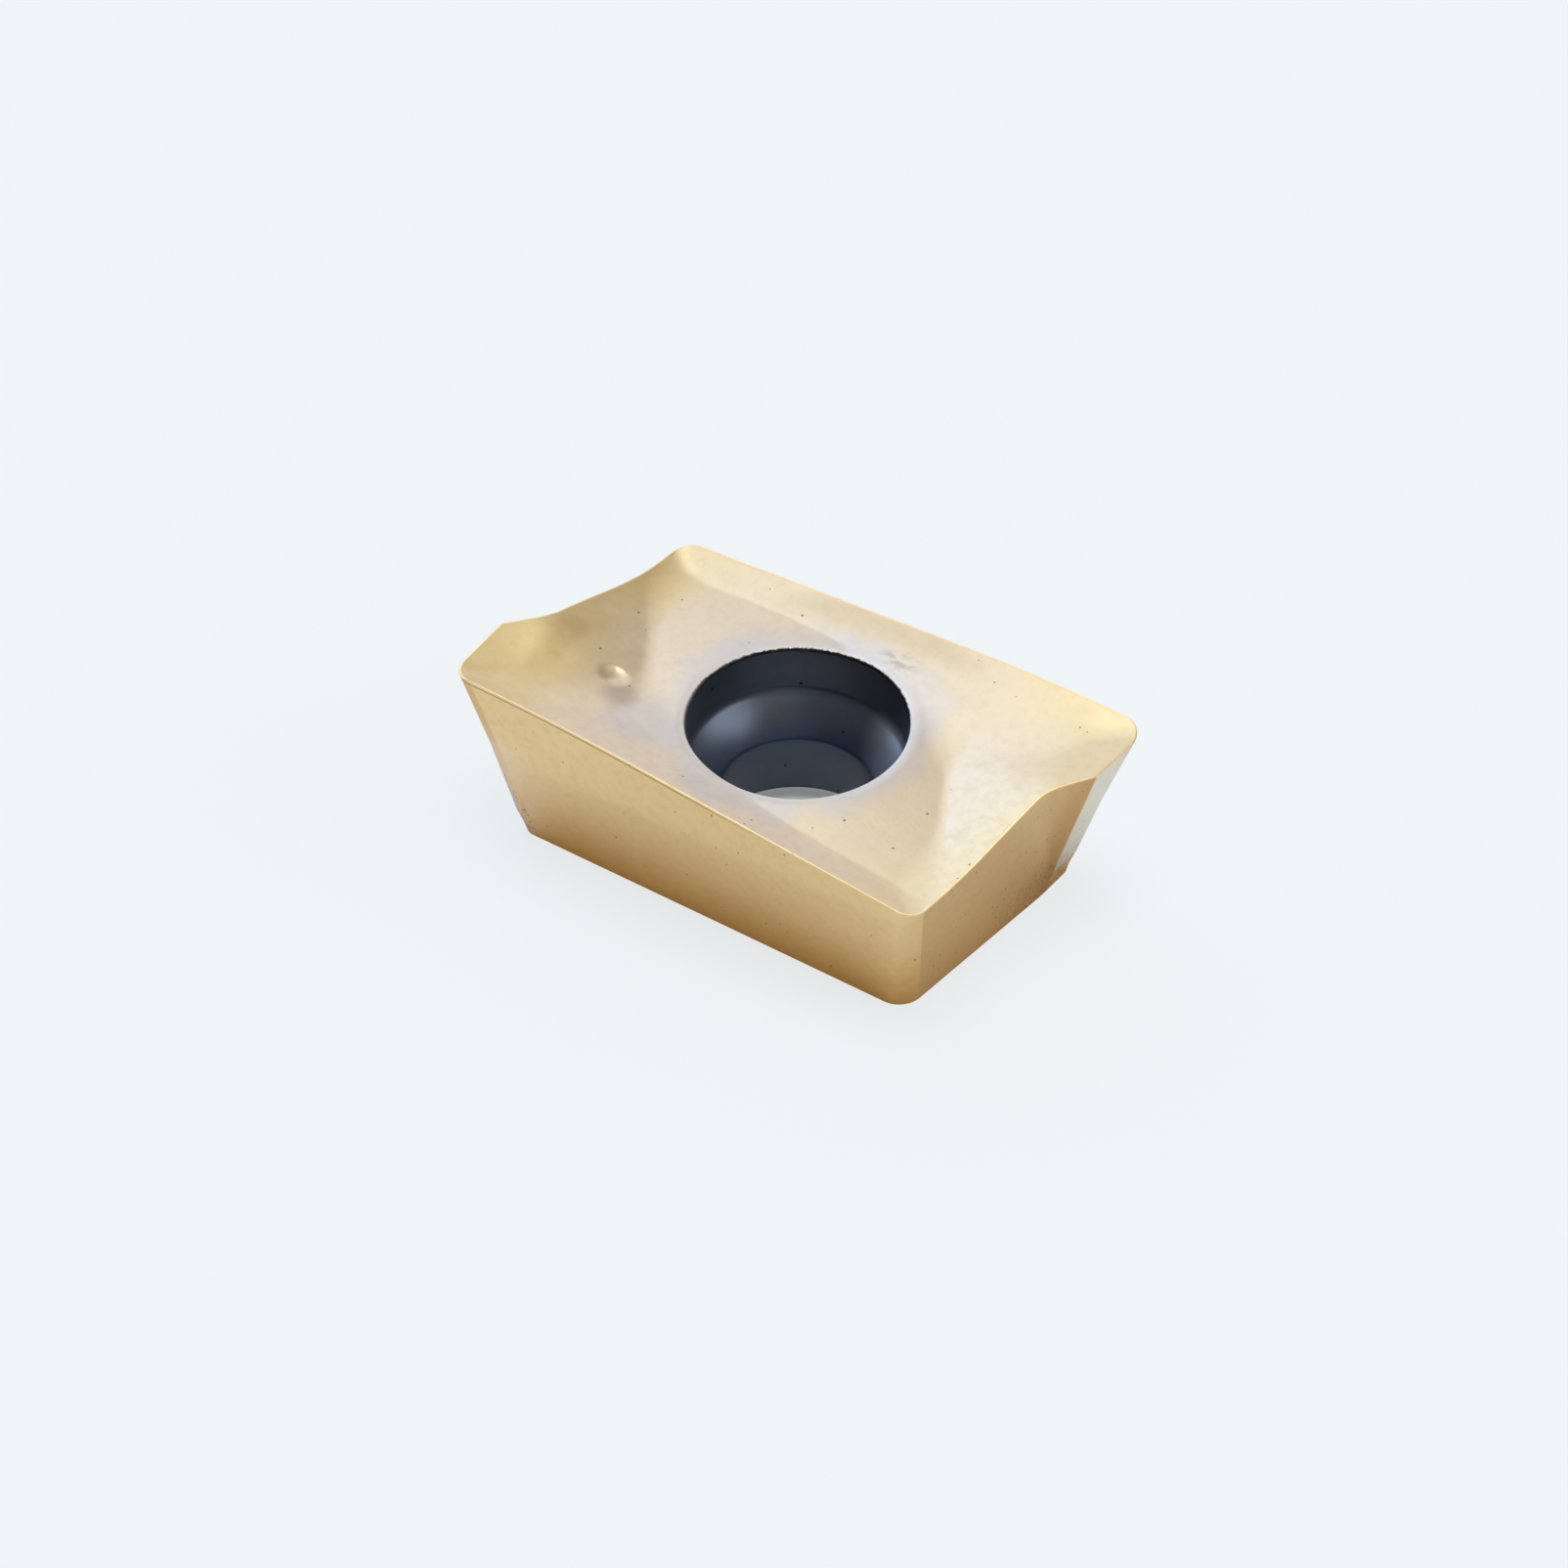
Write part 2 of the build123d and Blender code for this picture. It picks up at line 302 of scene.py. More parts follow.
# Where along the side its reach is read for the two corners
PLAIN_CORNER_X, NOSE_CORNER_X = 7.0, -2 * NOSE_Y


def half_outline(z):
    """Points of the half outline from the left nose round the plain corner to the right nose.

    z has one row of heights per column. Returns x and y of the same shape.
    """
    ends = np.cumsum([SIDE_COLUMNS, PLAIN_COLUMNS, FLANK_COLUMNS, WIPER_COLUMNS])
    side, plain, flank, border, nose = np.split(z, ends, axis=1)
    xs, ys = [], []
    # Near side, from the left nose to the plain corner
    t = np.linspace(0, 1, SIDE_COLUMNS, endpoint=False)[None, :]
    tip = end_reach(NOSE_Y, side) - radius_of_nose(side)
    far = end_reach(-side_reach(PLAIN_CORNER_X, side), side) - radius_of_plain_corner(side)
    x = -tip + (far + tip) * t
    xs.append(x)
    ys.append(-side_reach(x, side))
    # Plain corner
    a = np.linspace(0, np.pi / 2, PLAIN_COLUMNS, endpoint=False)[None, :]
    r = radius_of_plain_corner(plain)
    y = -side_reach(PLAIN_CORNER_X, plain) + r * (1 - np.cos(a))
    xs.append(end_reach(y, plain) - r * (1 - np.sin(a)))
    ys.append(y)
    # End flank up to the wiper border
    t = np.linspace(0, 1, FLANK_COLUMNS, endpoint=False)[None, :]
    start = -side_reach(PLAIN_CORNER_X, flank) + radius_of_plain_corner(flank)
    y = start + (wiper_border(flank) - start) * t
    xs.append(end_reach(y, flank))
    ys.append(y)
    # Wiper face
    t = np.linspace(0, 1, WIPER_COLUMNS, endpoint=False)[None, :]
    stop = side_reach(NOSE_CORNER_X, border) - radius_of_nose(border)
    y = wiper_border(border) + (stop - wiper_border(border)) * t
    xs.append(end_reach(y, border))
    ys.append(y)
    # Nose
    a = np.linspace(0, np.pi / 2, NOSE_COLUMNS, endpoint=False)[None, :]
    r = radius_of_nose(nose)
    y = side_reach(NOSE_CORNER_X, nose) - r + r * np.sin(a)
    xs.append(end_reach(y, nose) - r * (1 - np.cos(a)))
    ys.append(y)
    return np.concatenate(xs, 1), np.concatenate(ys, 1)


def outline(z):
    """The whole outline: the half outline, then the same points after a half turn."""
    x1, y1 = half_outline(z[:, :HALF_COLUMNS])
    x2, y2 = half_outline(z[:, HALF_COLUMNS:])
    return np.concatenate([x1, -x2], 1), np.concatenate([y1, -y2], 1)


print("columns round the insert:", COLUMNS)

# %% [markdown]
# ## The cutting edge
#
# The edge is where the outline at some height meets the chip face at that same height. A guess of
# the height gives a point, the chip face above that point gives a better height, and fourteen
# rounds settle it in every column at once.


# %% Cutting edge
FIRST_GUESS, ROUNDS = 5.2, 14


def cutting_edge():
    """x, y and z of the sharp edge in every column, from repeating z = height at outline(z)."""
    z = np.full((1, COLUMNS), FIRST_GUESS)
    for _ in range(ROUNDS):
        x, y = outline(z)
        z = chip_height(x, y)
    return x[0], y[0], z[0]


edge_x, edge_y, edge_z = cutting_edge()
edge_angle = np.arctan2(edge_y, edge_x)
print("edge height from", round(float(edge_z.min()), 3), "to", round(float(edge_z.max()), 3), "mm")

# %% [markdown]
# ## One closed grid
#
# The hole makes the insert a ring, so one grid that is closed both ways covers it with no seam:
# columns run round the insert, and rows run from the rim of the hole out over the chip face, round
# the honed edge, down the flanks, in under the seat and up through the hole to the rim again.

# %% Sizes of the hole and the edges
RIM_RADIUS, RIM_ROUND, RIM_DROP, RIM_LEVEL = 3.142, 0.07, 0.12, 4.79
RECESS_FOOT, RECESS_ROUND, RECESS_MIDDLE = 3.275, 0.14, 4.0
SEAT_FOOT, SEAT_CURVE = 2.22, 3.2
BORE_RADIUS, BORE_FOOT, MOUTH_RADIUS = 2.19, 0.47, 2.64
HONE = 0.07
SEAT_BREAK = 0.05
print("hole radius at the rim and in the bore:", RIM_RADIUS, BORE_RADIUS, "mm")

# %% [markdown]
# Next to a crisp edge a second row or column runs very close to it, a support row. Smooth shading
# then turns over in that narrow gap, and the faces on both sides stay flat.


# %% Rows over the chip face
def spread(count, gather=0.0):
    """Shares from 0 to 1, gathered towards both ends when gather is above 0."""
    t = np.linspace(0, 1, count)
    return t - gather * np.sin(2 * np.pi * t) / (2 * np.pi)


CHIP_ROWS, CHIP_GATHER = 60, 0.35
AFTER_RIM, BEFORE_HONE = 0.004, 0.997


def chip_rows():
    """Straight in plan from the rim to the start of the honed edge, on the chip face."""
    start = RIM_RADIUS + RIM_ROUND
    stop = np.hypot(edge_x, edge_y) - HONE
    middle = spread(CHIP_ROWS, CHIP_GATHER)[1:-1]
    share = np.concatenate([[0, AFTER_RIM], middle, [BEFORE_HONE]])[:, None]
    r = np.concatenate([start + (stop - start) * share, stop[None, :]], 0)
    x, y = r * np.cos(edge_angle), r * np.sin(edge_angle)
    return x, y, chip_height(x, y) - mark_depth(x, y)


# %% Rows round the honed edge
HONE_ROWS = 8


def rounded(t, start, corner, stop):
    """Quadratic curve (1-t)^2 start + 2t(1-t) corner + t^2 stop, which rounds a corner."""
    return (1 - t) ** 2 * start + 2 * t * (1 - t) * corner + t * t * stop


def hone_rows(first, last):
    """From the chip face to the flank on a rounded curve, with the sharp edge as its corner."""
    t = np.linspace(0, 1, HONE_ROWS)[1:-1, None]
    sharp = (edge_x, edge_y, edge_z)
    return tuple(rounded(t, a, p, b) for a, p, b in zip(first, sharp, last))


# %% Rows down the flanks
UPPER_ROWS, LOWER_ROWS = 26, 7
AFTER_HONE, BEFORE_SEAT = 0.004, 0.985


def flank_rows():
    """Down the outline at falling heights, with one row exactly at the foot of the wiper."""
    top = edge_z - HONE
    upper = np.concatenate([[0, AFTER_HONE], spread(UPPER_ROWS)[1:]])[:, None]
    lower = np.concatenate([spread(LOWER_ROWS)[1:-1], [BEFORE_SEAT, 1.0]])[:, None]
    above = top + (FOOT_HEIGHT - top) * upper
    below = FOOT_HEIGHT + (SEAT_BREAK - FOOT_HEIGHT) * lower + 0 * top
    z = np.concatenate([above, below], 0)
    x, y = outline(z)
    return x, y, z


# %% Rows under the seat
SEAT_BREAK_ROWS, SEAT_SHARES = 5, (0.02, 0.5, 0.98, 1.0)


def seat_rows(x, y):
    """Round the bottom edge and in over the flat seat to the mouth of the bore."""
    foot_x, foot_y = outline(np.zeros((1, COLUMNS)))
    mouth_x, mouth_y = MOUTH_RADIUS * np.cos(edge_angle), MOUTH_RADIUS * np.sin(edge_angle)
    length = np.hypot(foot_x - mouth_x, foot_y - mouth_y)
    inner_x = foot_x + (mouth_x - foot_x) * SEAT_BREAK / length
    inner_y = foot_y + (mouth_y - foot_y) * SEAT_BREAK / length
    t = np.linspace(0, 1, SEAT_BREAK_ROWS)[1:, None]
    bx = rounded(t, x, foot_x, inner_x)
    by = rounded(t, y, foot_y, inner_y)
    bz = rounded(t, SEAT_BREAK, 0, 0) + 0 * bx
    s = np.array(SEAT_SHARES)[:, None]
    fx, fy = inner_x + (mouth_x - inner_x) * s, inner_y + (mouth_y - inner_y) * s
    return np.concatenate([bx, fx]), np.concatenate([by, fy]), np.concatenate([bz, 0 * fx])


# %% Profile of the screw seat
SCREW_SEAT_ROWS, CORNER_ROWS = 15, 7


def screw_seat_profile():
    """Radius and height up the curved screw seat and round its corner with the recess wall.

    The seat is a straight line from bore to recess that bulges by 4 * sagitta * t * (1 - t).
    """
    rise, run = RECESS_FOOT - SEAT_FOOT, RIM_RADIUS - BORE_RADIUS
    chord = math.hypot(run, rise)
    sagitta = SEAT_CURVE - math.sqrt(SEAT_CURVE**2 - chord**2 / 4)
    t = np.linspace(0, 1, SCREW_SEAT_ROWS)[:-1]
    bulge = 4 * sagitta * t * (1 - t)
    seat_r = BORE_RADIUS + run * t - rise / chord * bulge
    seat_z = SEAT_FOOT + rise * t + run / chord * bulge
    t = np.linspace(0, 1, CORNER_ROWS)
    corner_r = rounded(t, seat_r[-2], RIM_RADIUS, RIM_RADIUS)
    corner_z = rounded(t, seat_z[-2], RECESS_FOOT, RECESS_FOOT + RECESS_ROUND)
    return np.append(seat_r[:-2], corner_r), np.append(seat_z[:-2], corner_z)


screw_seat_r, screw_seat_z = screw_seat_profile()
print("screw seat rises from", SEAT_FOOT, "to", RECESS_FOOT, "mm")

# %% Rows up the hole
SUPPORT, SEAT_SUPPORT, RIM_SUPPORT = 0.02, 0.03, 0.04
RIM_STEPS, LIFTED_ABOVE = 6, 4.2


def hole_profile():
    """Radius and height up the hole: mouth cone, bore, screw seat, recess wall and rim.

    The rim is a quarter ellipse that ends where the chip face begins. Its rows are lifted or
    lowered to the height of the chip face in each column.
    """
    a = np.linspace(0, np.pi / 2, RIM_STEPS)[:-1]
    rim_r = RIM_RADIUS + RIM_ROUND * (1 - np.cos(a))
    rim_z = RIM_LEVEL - RIM_DROP * (1 - np.sin(a))
    bore_r = [MOUTH_RADIUS - SUPPORT, BORE_RADIUS + SUPPORT, BORE_RADIUS, BORE_RADIUS]
    bore_z = [SUPPORT, BORE_FOOT - SUPPORT, BORE_FOOT + SUPPORT, SEAT_FOOT - SEAT_SUPPORT]
    wall_r = [RIM_RADIUS, RIM_RADIUS]
    wall_z = [RECESS_MIDDLE, RIM_LEVEL - RIM_DROP - RIM_SUPPORT]
    profile_r = np.concatenate([bore_r, screw_seat_r, wall_r, rim_r])[:, None]
    profile_z = np.concatenate([bore_z, screw_seat_z, wall_z, rim_z])[:, None]
    outer = RIM_RADIUS + RIM_ROUND
    lift = chip_height(outer * np.cos(edge_angle), outer * np.sin(edge_angle)) - RIM_LEVEL
    return profile_r + 0 * edge_angle, profile_z + lift * (profile_z > LIFTED_ABOVE)


# %% Join the rows
chip = chip_rows()
flank = flank_rows()
hone = hone_rows([a[-1] for a in chip], [a[0] for a in flank])
seat = seat_rows(flank[0][-1], flank[1][-1])
hole_r, hole_z = hole_profile()
hole = (hole_r * np.cos(edge_angle), hole_r * np.sin(edge_angle), hole_z)
sections = [chip, hone, flank, seat, hole]
grid = np.stack([np.concatenate([s[k] for s in sections], 0) for k in range(3)], -1)
section_rows = [s[0].shape[0] for s in sections]
CHIP_END, HONE_END, FLANK_END, SEAT_END, ROWS = (int(n) for n in np.cumsum(section_rows))
print("grid of", ROWS, "rows and", COLUMNS, "columns,", 2 * ROWS * COLUMNS, "triangles")

# %% [markdown]
# ## A map of the surface in millimetres
#
# Fine specks have to sit on the surface, so they are placed on a flat map of it, a UV map whose
# unit is one millimetre. The chip face and the seat are mapped as seen from above. The flanks are
# unrolled: the distance round the insert goes across the map, and the distance below the edge goes
# up it. The hole is unrolled in the same way. The three lie side by side, too far apart to meet.


# %% Flat map
FLANK_MAP_START, HOLE_MAP_START, HOLE_MAP_RADIUS = 60, 150, 2.8


def flat_map(points):
    """Per face corner, the flat coordinates in mm of the section that its face row belongs to."""
    padded = np.concatenate([points, points[:1]], 0)
    padded = np.concatenate([padded, padded[:, :1]], 1)
    steps = np.linalg.norm(np.diff(padded, axis=0), axis=2)
    down = np.concatenate([np.zeros((1, COLUMNS + 1)), np.cumsum(steps, 0)], 0)
    edge = np.stack([edge_x, edge_y, edge_z], -1)
    edge_step = np.linalg.norm(np.roll(edge, -1, 0) - edge, axis=1)
    round_edge = np.concatenate([[0], np.cumsum(edge_step)])[None, :] + 0 * down
    turn = np.unwrap(np.append(edge_angle, edge_angle[0]))
    round_hole = HOLE_MAP_RADIUS * turn[None, :] + 0 * down
    row = np.arange(ROWS)[:, None]
    unrolled = ((row >= CHIP_END) & (row < FLANK_END)) + 0 * edge_angle[None, :] > 0
    in_hole = (row >= SEAT_END) + 0 * edge_angle[None, :] > 0
    corners = np.empty((ROWS, COLUMNS, 4, 2))
    for k, (i, j) in enumerate([(0, 0), (1, 0), (1, 1), (0, 1)]):
        part = np.s_[i:ROWS + i, j:COLUMNS + j]
        below_edge = down[part] - down[CHIP_END, j:COLUMNS + j]
        up_hole = down[part] - down[SEAT_END, j:COLUMNS + j]
        across = np.where(unrolled, FLANK_MAP_START + round_edge[part], padded[part][..., 0])
        along = np.where(unrolled, below_edge, padded[part][..., 1])
        corners[:, :, k, 0] = np.where(in_hole, HOLE_MAP_START + round_hole[part], across)
        corners[:, :, k, 1] = np.where(in_hole, up_hole, along)
    return corners


surface_map = flat_map(grid)
edge_length = surface_map[CHIP_END, :, 3, 0].max() - FLANK_MAP_START
print("length of the cutting edge:", round(float(edge_length), 2), "mm")

# %% [markdown]
# Three more numbers go with each point of the surface, for the materials to read. The first is
# the distance from the cutting edge, above 0 on the chip face and below 0 on the flank, which
# draws the honed edge. The second says how many specks a place has: few on the chip face, many low
# on the end flanks. The third is the distance past the border of the wiper face.


# %% Distance from the edge
ELSEWHERE = -9.0


def distance_from_edge(points):
    """Distance along the column times the sine of its angle to the edge, with the side as sign."""
    edge = np.stack([edge_x, edge_y, edge_z], -1)
    tangent = np.roll(edge, -1, 0) - np.roll(edge, 1, 0)
    tangent = tangent[:, :2] / np.linalg.norm(tangent[:, :2], axis=1)[:, None]
    outwards = np.stack([np.cos(edge_angle), np.sin(edge_angle)], -1)
    sine = np.abs(outwards[:, 0] * tangent[:, 1] - outwards[:, 1] * tangent[:, 0])
    distance = np.linalg.norm(points - edge[None], axis=2)
    row = np.arange(ROWS)[:, None]
    middle = (CHIP_END + HONE_END - 1) / 2
    on_chip = distance * sine[None, :]
    return np.where(row < middle, on_chip, np.where(row < FLANK_END, -distance, ELSEWHERE))


from_edge = distance_from_edge(grid)
print("chip face reaches", round(float(from_edge[:CHIP_END].max()), 2), "mm in from the edge")


# %% Share of specks and place of the wiper face
CHIP_SPECKS, SIDE_SPECKS, SEAT_SPECKS = 0.04, 0.06, 0.35
END_SPECKS, END_FOOT_SPECKS = 0.08, 0.86


def share_of_specks(points):
    """Few on the chip face and the long flanks, up to 1 at the foot of the end flanks.

    The end flanks begin where x passes 6.0 + 0.2 z. On them the specks thicken below 3.4 mm and
    towards the wiper face.
    """
    x, y, z = points[..., 0], points[..., 1], points[..., 2]
    row = np.arange(ROWS)[:, None] + 0 * x
    end = ease((np.abs(x) - 0.2 * z - 6.0) / 0.3)
    toward_wiper = ease((y * np.sign(x) + 3.0) / 5.0)
    low = ease((3.4 - z) / 3.0)
    flank_share = SIDE_SPECKS + end * (END_SPECKS + END_FOOT_SPECKS * low * toward_wiper)
    below_chip = np.where(row < FLANK_END, flank_share, SEAT_SPECKS)
    return np.where(row < CHIP_END, CHIP_SPECKS, below_chip)


def past_wiper_border(points):
    """Distance in mm past the border of the wiper face, above 0 on it, -9 off the end flanks."""
    x, y, z = points[..., 0], points[..., 1], points[..., 2]
    row = np.arange(ROWS)[:, None] + 0 * x
    column = np.arange(COLUMNS)[None, :] % HALF_COLUMNS + 0 * x
    on_end = (column >= SIDE_COLUMNS + PLAIN_COLUMNS) & (row >= CHIP_END) & (row < FLANK_END)
    return np.where(on_end, y * np.sign(x) - wiper_border(z), ELSEWHERE)


speck_share = share_of_specks(grid)
wiper_place = past_wiper_border(grid)
print("wiper face is up to", round(float(wiper_place.max()), 2), "mm wide, with its corner")


# %% [markdown]
# ## The mesh
#
# The grid becomes one mesh. Faces of the recess, the screw seat, the bore and its mouth take the
# second material, the rest take the first.


# %% Mesh
def closed_grid_mesh(name, points):
    """A mesh from a grid whose last row joins the first and whose last column joins the first."""
    rows, columns = points.shape[:2]
    index = np.arange(rows * columns).reshape(rows, columns)
    below, right = np.roll(index, -1, 0), np.roll(index, -1, 1)
    corner = np.roll(below, -1, 1)
    quads = np.stack([index, below, corner, right], -1).reshape(-1, 4)
    mesh = bpy.data.meshes.new(name)
    mesh.from_pydata((points.reshape(-1, 3) * MM).tolist(), [], quads.tolist())
    mesh.polygons.foreach_set("use_smooth", np.ones(len(quads), bool))
    mesh.update()
    return mesh


insert_mesh = closed_grid_mesh("insert_surface", grid)
uv_layer = insert_mesh.uv_layers.new(name="surface_mm")
uv_layer.uv.foreach_set("vector", surface_map.astype(np.float32).ravel())
surface_numbers = {"from_edge": from_edge, "speck_share": speck_share, "wiper_place": wiper_place}
for name, values in surface_numbers.items():
    attribute = insert_mesh.attributes.new(name, "FLOAT", "POINT")
    attribute.data.foreach_set("value", values.astype(np.float32).ravel())
print("numbers on the surface:", list(surface_numbers))

# %% Which faces are dark
GOLD_RIM_ROWS = 4
in_hole = np.zeros((ROWS, COLUMNS), np.int32)
in_hole[SEAT_END - 1:ROWS - GOLD_RIM_ROWS] = 1
insert_mesh.polygons.foreach_set("material_index", in_hole.ravel())
print("faces in the hole:", int(in_hole.sum()))

# %% Insert body
insert_body = bpy.data.objects.new("insert_surface", insert_mesh)
bpy.context.scene.collection.objects.link(insert_body)
CHIP_FACE_ROW = 5
normals = np.zeros(len(insert_mesh.polygons) * 3, np.float32)
insert_mesh.polygons.foreach_get("normal", normals)
chip_normal_up = normals.reshape(-1, 3)[CHIP_FACE_ROW * COLUMNS, 2]
print("chip face normal points up:", bool(chip_normal_up > 0))
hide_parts("insert")
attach(insert_body, "root")


# %% [markdown]
# ## Colours and nodes
#
# Colours are written as sRGB hex values, as a paint program shows them, and turned into the linear
# values that Blender computes with. One small function adds a node, sets it up and links it.


# %% Helpers for materials
def linear(hex_colour):
    """Linear RGBA of an sRGB hex value."""
    parts = [int(hex_colour[i:i + 2], 16) / 255 for i in (1, 3, 5)]
    return [c / 12.92 if c <= 0.04045 else ((c + 0.055) / 1.055) ** 2.4 for c in parts] + [1.0]


def add_node(tree, kind, inputs=None, output=0, **settings):
    """Adds a node, sets its settings and sets or links its inputs. Returns one of its outputs."""
    node = tree.nodes.new(kind)
    for key, value in settings.items():
        setattr(node, key, value)
    for key, value in (inputs or {}).items():
        if isinstance(value, bpy.types.NodeSocket):
            tree.links.new(value, node.inputs[key])
        else:
            node.inputs[key].default_value = value
    return node.outputs[output] if node.outputs else node


def new_material(name):
    """An empty material with its node tree."""
    material = bpy.data.materials.new(name)
    material.use_nodes = True
    material.node_tree.nodes.clear()
    return material, material.node_tree


# %% [markdown]
# ## The gold coating
#
# The real finish is a nitride layer a few micrometres thick, laid on in a vacuum and then blasted
# to a satin. To the eye it is a metal: a pale gold whose gloss is spread wide, so it starts from a
# metal with a roughness near 0.4. Over it lies a thin clear layer of alumina, which turns faces
# that are seen at a glancing angle a cool white. All patterns read the object's own coordinates,
# turned to millimetres, so a pattern's scale is one over its width in mm.

# %% Coordinates for the gold patterns
gold, tree = new_material("satin_gold_nitride")
place = add_node(tree, "ShaderNodeTexCoord", output=3)
mm = add_node(tree, "ShaderNodeVectorMath", {
    0: place, 1: (1000, 1000, 1000)}, operation="MULTIPLY")
x_place = add_node(tree, "ShaderNodeSeparateXYZ", {0: mm}, output=0)
y_place, level = x_place.node.outputs[1], x_place.node.outputs[2]
plan = add_node(tree, "ShaderNodeVectorMath", {0: mm, 1: (1, 1, 0)}, operation="MULTIPLY")
radius = add_node(tree, "ShaderNodeVectorMath", {0: plan}, output=1, operation="LENGTH")
edge_distance = add_node(tree, "ShaderNodeAttribute", output=2, attribute_name="from_edge")
specks_here = add_node(tree, "ShaderNodeAttribute", output=2, attribute_name="speck_share")
wiper_here = add_node(tree, "ShaderNodeAttribute", output=2, attribute_name="wiper_place")
flat_place = add_node(tree, "ShaderNodeUVMap", uv_map="surface_mm")
print("gold coating reads millimetres")

# %% [markdown]
# The finish is built up in layers of colour, as a retoucher would lay them over a photograph. Each
# layer is one line: what it is on the real insert, its colour, its strength, and the smooth steps
# that bound it. A step reads one number, is 0 where that number has the first value and 1 where it
# has the second, and a layer covers what lies below it by the product of its steps.


# %% Layers of colour
def lay_colours(tree, tone, layers):
    """Mixes each layer's colour over the tone, by strength * step * step and so on."""
    for _, colour, strength, steps in layers:
        cover = strength
        for number, nothing_at, full_at in steps:
            step = add_node(tree, "ShaderNodeMapRange", {
                "Value": number, "From Min": nothing_at, "From Max": full_at},
                interpolation_type="SMOOTHSTEP")
            cover = add_node(tree, "ShaderNodeMath", {0: cover, 1: step}, operation="MULTIPLY")
        tone = add_node(tree, "ShaderNodeMix", {"Factor": cover, "A": tone, "B": linear(colour)},
                        output=2, data_type="RGBA")
    return tone


# %% [markdown]
# Round the hole the gold thins out to a pinkish grey, because gas and ions reach the recess badly
# while the layer grows. Further out it is cream, and at the corners and on the flanks it is full
# gold. Clouds about 2 mm wide make the borders of these zones wander.

# %% Colour zones
CLOUD_WIDTH, CLOUD_SWAY = 2.2, 2.4
LEFT_NOSE, GREY_DRIFT = (-7.4, -2.1, 0), (-3.5, -2.5, 0)
cloud = add_node(tree, "ShaderNodeTexNoise", {
    "Vector": mm, "Scale": 1 / CLOUD_WIDTH, "Detail": 2.0})
wander = add_node(tree, "ShaderNodeMath", {
    0: cloud, 1: CLOUD_SWAY, 2: radius}, operation="MULTIPLY_ADD")
on_flank = (edge_distance, 0.10, -0.05)
nose_far = add_node(tree, "ShaderNodeVectorMath", {
    0: plan, 1: LEFT_NOSE}, output=1, operation="DISTANCE")
drift_far = add_node(tree, "ShaderNodeVectorMath", {
    0: plan, 1: GREY_DRIFT}, output=1, operation="DISTANCE")
zones = [
    ("cream layer", "#DAC4A7", 1.0, [(wander, 4.2, 5.7)]),
    ("gold layer", "#DCC59A", 1.0, [(wander, 6.1, 9.6)]),
    ("yellower at the left end", "#D2B682", 0.8,
     [(wander, 6.1, 9.0), (x_place, -4.6, -7.2), (y_place, 4.1, 3.4)]),
    ("paler behind the left nose", "#E7CC98", 0.75, [(nose_far, 1.7, 0.5)]),
    ("greyer drift toward the near edge", "#C4BCB6", 0.65, [(drift_far, 1.7, 0.5)]),
    ("dull strip behind the hole", "#CBB390", 0.8, [(y_place, 3.75, 4.35), (radius, 5.8, 4.7)]),
    # Painted shade: the flanks are browner at the foot and paler towards the top, and the end
    # flanks darker, for the shaded floor that they mirror.
    ("foot of the flanks", "#EDC785", 1.0, [on_flank]),
    ("top of the flanks", "#F4D9A5", 1.0, [on_flank, (level, 0.0, 3.2)]),
    ("end flanks", "#DFBE88", 0.8, [on_flank, (wiper_here, -8.6, -8.2)]),
    # Painted reflection: a pale pinkish patch low on the left end of the near flank.
    ("left end of the near flank", "#FFE6CC", 0.7,
     [on_flank, (y_place, -2.6, -3.2), (x_place, -5.2, -7.4), (level, 4.6, 3.0)]),
    ("shoulder of the boss", "#C4924C", 0.5,
     [(wiper_here, -0.9, -0.1), (wiper_here, 0.02, -0.02)]),
    ("bare wiper face", "#E6E4DA", 1.0,
     [(wiper_here, -0.02, 0.02), (wiper_here, 1.95, 1.5), (level, 0.75, 1.0)]),
]
tone = lay_colours(tree, linear("#C8BEB7"), zones)
print("colour zones:", len(zones) + 1)

# %% [markdown]
# The honed cutting edge catches the light as a pale line, painted into the colour as a highlight.
# Just under it, where the hone meets the flank, runs a thin brown line along the near edge, and an
# orange one beside the other edges.

# %% Edge lines
toward_far = add_node(tree, "ShaderNodeVectorMath", {
    0: mm, 1: (0.25, 1, 0)}, output=1, operation="DOT_PRODUCT")
edge_lines = [
    # Painted highlight: the pale line along the honed edge.
    ("painted highlight on the hone", "#FCE2AC", 0.8, [(edge_distance, -0.085, -0.045), (edge_distance, 0.10, 0.05)]),
    ("brown line under the near edge", "#8E6636", 0.8,
     [(edge_distance, -0.14, -0.10), (edge_distance, -0.06, -0.09),
      (toward_far, -1.0, -2.2), (x_place, 3.0, -1.0)]),
    ("orange line inside the other edges", "#D9A25C", 0.45,
     [(edge_distance, 0.02, 0.05), (edge_distance, 0.12, 0.07), (toward_far, -2.2, -1.0)]),
]
tone = lay_colours(tree, tone, edge_lines)
print("edge lines are about 0.1 mm wide")
